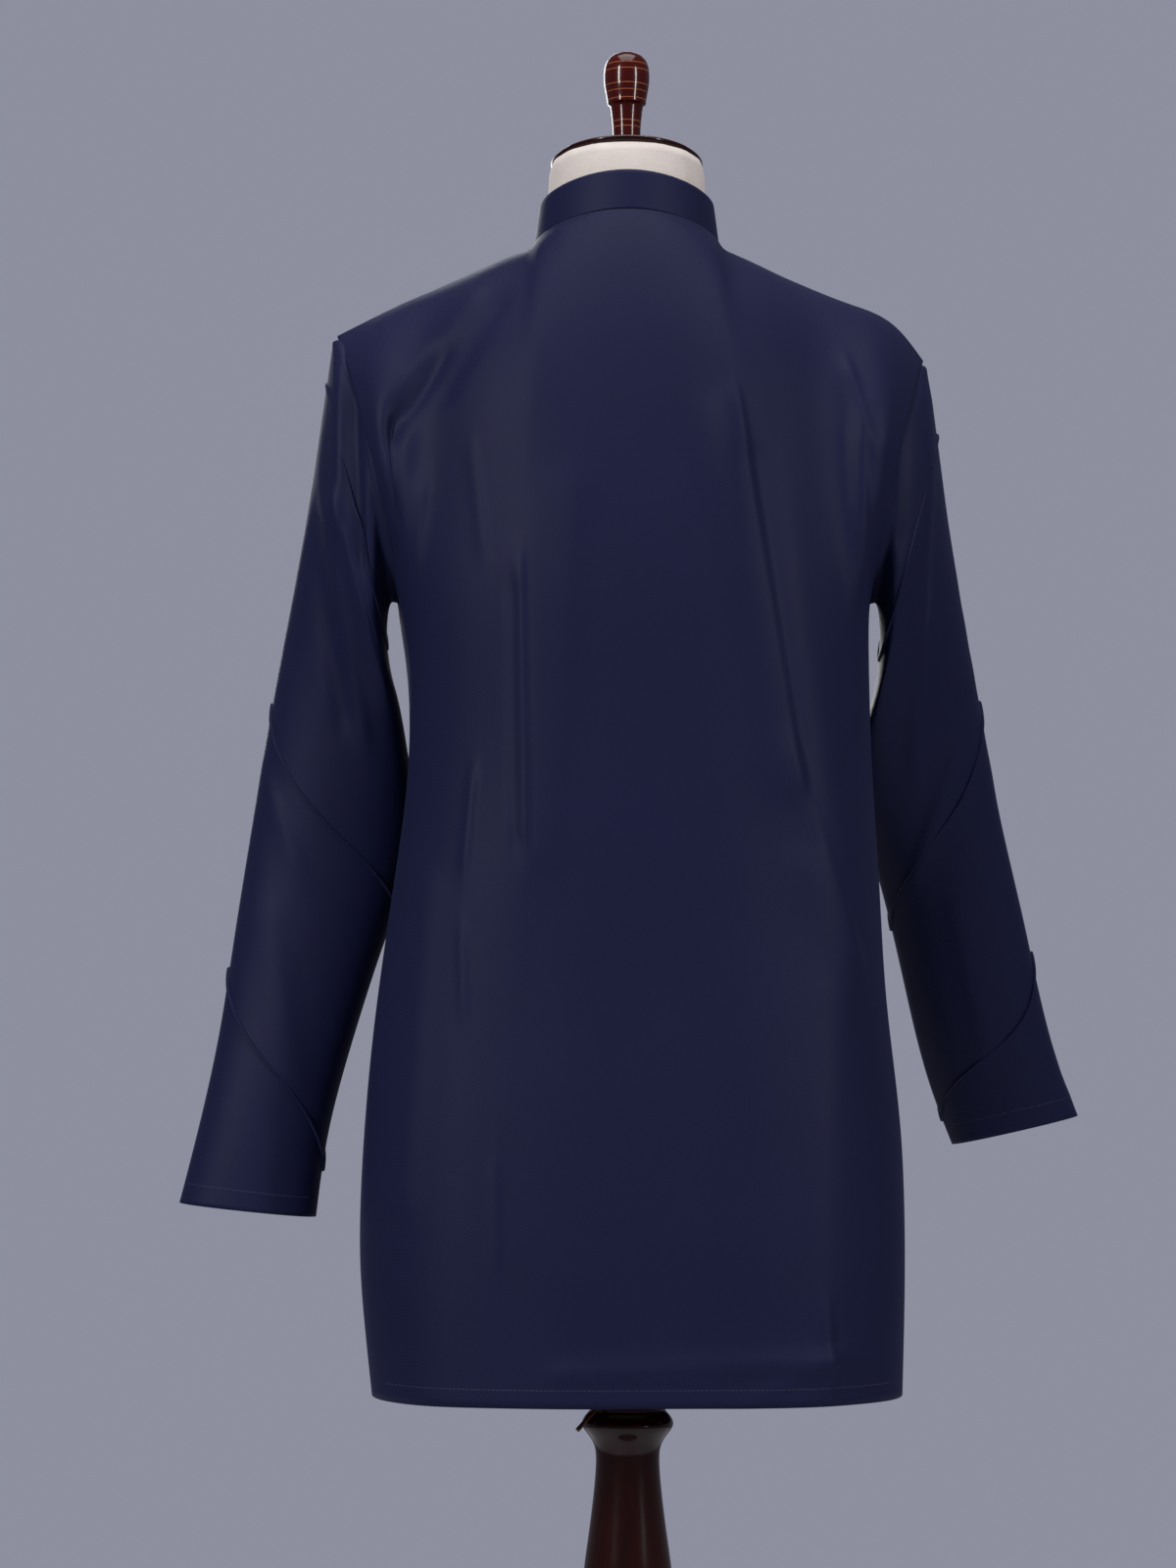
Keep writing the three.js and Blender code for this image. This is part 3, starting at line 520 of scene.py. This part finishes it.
HEM_STITCH = 0.622
TO_FRONT, TO_BACK = (0, -1, 0), (0, 1, 0)
stitch_row("back_hem_stitches", back, (0.186, 0, HEM_STITCH), (-0.200, 0, HEM_STITCH), TO_FRONT)
stitch_row("front_hem_stitches", front, (-0.200, 0, HEM_STITCH), (0.186, 0, HEM_STITCH), TO_BACK)
stitch_row("left_cuff_stitches_back", left_sleeve, (0.335, 0, 0.764), (0.240, 0, 0.753), TO_FRONT)
stitch_row("left_cuff_stitches_front", left_sleeve, (0.240, 0, 0.753), (0.335, 0, 0.764), TO_BACK)
stitch_row("right_cuff_stitches_back", right_sleeve, (-0.262, 0, 0.802), (-0.365, 0, 0.826), TO_FRONT)
stitch_row("placket_stitches_left", placket, (0.013, 0, 1.41), (0.013, 0, 1.175), TO_BACK)
stitch_row("placket_stitches_right", placket, (-0.013, 0, 1.41), (-0.013, 0, 1.175), TO_BACK)

# %% [markdown]
# ## The photographer's studio
# Two tall softboxes stand behind the wearer, one stronger than the other, so the creases throw
# soft shade to one side. A weak box hangs overhead and another fills the front. The backdrop is a
# plain lavender grey that only the camera sees, so it doesn't tint the cloth.

# %% light
LAVENDER_GREY = (0.268, 0.274, 0.345, 1)


def area_light(name, place, target, size, power):
    data = bpy.data.lights.new(name, "AREA")
    data.shape = "RECTANGLE"
    data.size, data.size_y = size
    data.energy = power
    light = bpy.data.objects.new(name, data)
    light.location = place
    light.rotation_euler = (Vector(target) - Vector(place)).to_track_quat("-Z", "Y").to_euler()
    COLLECTION.objects.link(light)
    return light


def studio():
    world = bpy.data.worlds.new("studio")
    bpy.context.scene.world = world
    world.use_nodes = True
    tree = world.node_tree
    tree.nodes.clear()
    path = tree.nodes.new("ShaderNodeLightPath")
    seen = Value(tree, path.outputs["Is Camera Ray"])
    color = seen.blend((0.20, 0.20, 0.24, 1), LAVENDER_GREY)
    strength = seen * 0.45 + 0.55
    light = seen.node("ShaderNodeBackground", None, {"Color": color, "Strength": strength})
    output = tree.nodes.new("ShaderNodeOutputWorld")
    tree.links.new(light.socket, output.inputs["Surface"])
    area_light("left softbox", (2.2, 2.6, 2.3), (0, 0, 1.1), (0.35, 1.8), 66)
    area_light("right softbox", (-2.4, 2.2, 2.0), (0, 0, 1.1), (0.3, 1.8), 40)
    area_light("top softbox", (0, 0.4, 3.2), (0, 0, 1.2), (1.6, 1.6), 26)
    area_light("front fill", (0.6, -2.6, 2.0), (0, 0, 1.1), (1.4, 1.4), 30)


studio()
print("lights:", len(bpy.data.lights))

# %% [markdown]
# ## Floor and camera
# The stand rests on a wide pale floor. The camera is low and far off, behind the wearer, and is
# turned up a little, so the hem is nearly level with it.

# %% floor and camera
FLOOR_RADIUS = 1.6


def pale_floor():
    mesh = bmesh.new()
    bmesh.ops.create_circle(mesh, cap_ends=True, radius=FLOOR_RADIUS, segments=96)
    data = bpy.data.meshes.new("floor")
    mesh.to_mesh(data)
    mesh.free()
    floor = bpy.data.objects.new("floor", data)
    floor.location.z = -0.001
    material, tree, shader, place = new_material("pale_floor")
    dust = noise(place, 6.0)
    color = dust.blend((0.50, 0.50, 0.54, 1), (0.56, 0.56, 0.60, 1))
    finish_material(tree, shader, color, dust * 0.1 + 0.6, dust, 0.0005)
    data.materials.append(material)
    COLLECTION.objects.link(floor)


def camera():
    data = bpy.data.cameras.new("camera")
    data.sensor_fit = "VERTICAL"
    data.sensor_height = 36
    data.lens = 84
    view = bpy.data.objects.new("camera", data)
    view.location = (0.0295, 2.75, 0.88)
    view.rotation_euler = (math.radians(90 + 3.83), 0, math.radians(180))
    COLLECTION.objects.link(view)
    bpy.context.scene.camera = view


pale_floor()
camera()
bpy.context.scene.view_settings.view_transform = "Standard"
print("camera at", tuple(bpy.context.scene.camera.location))
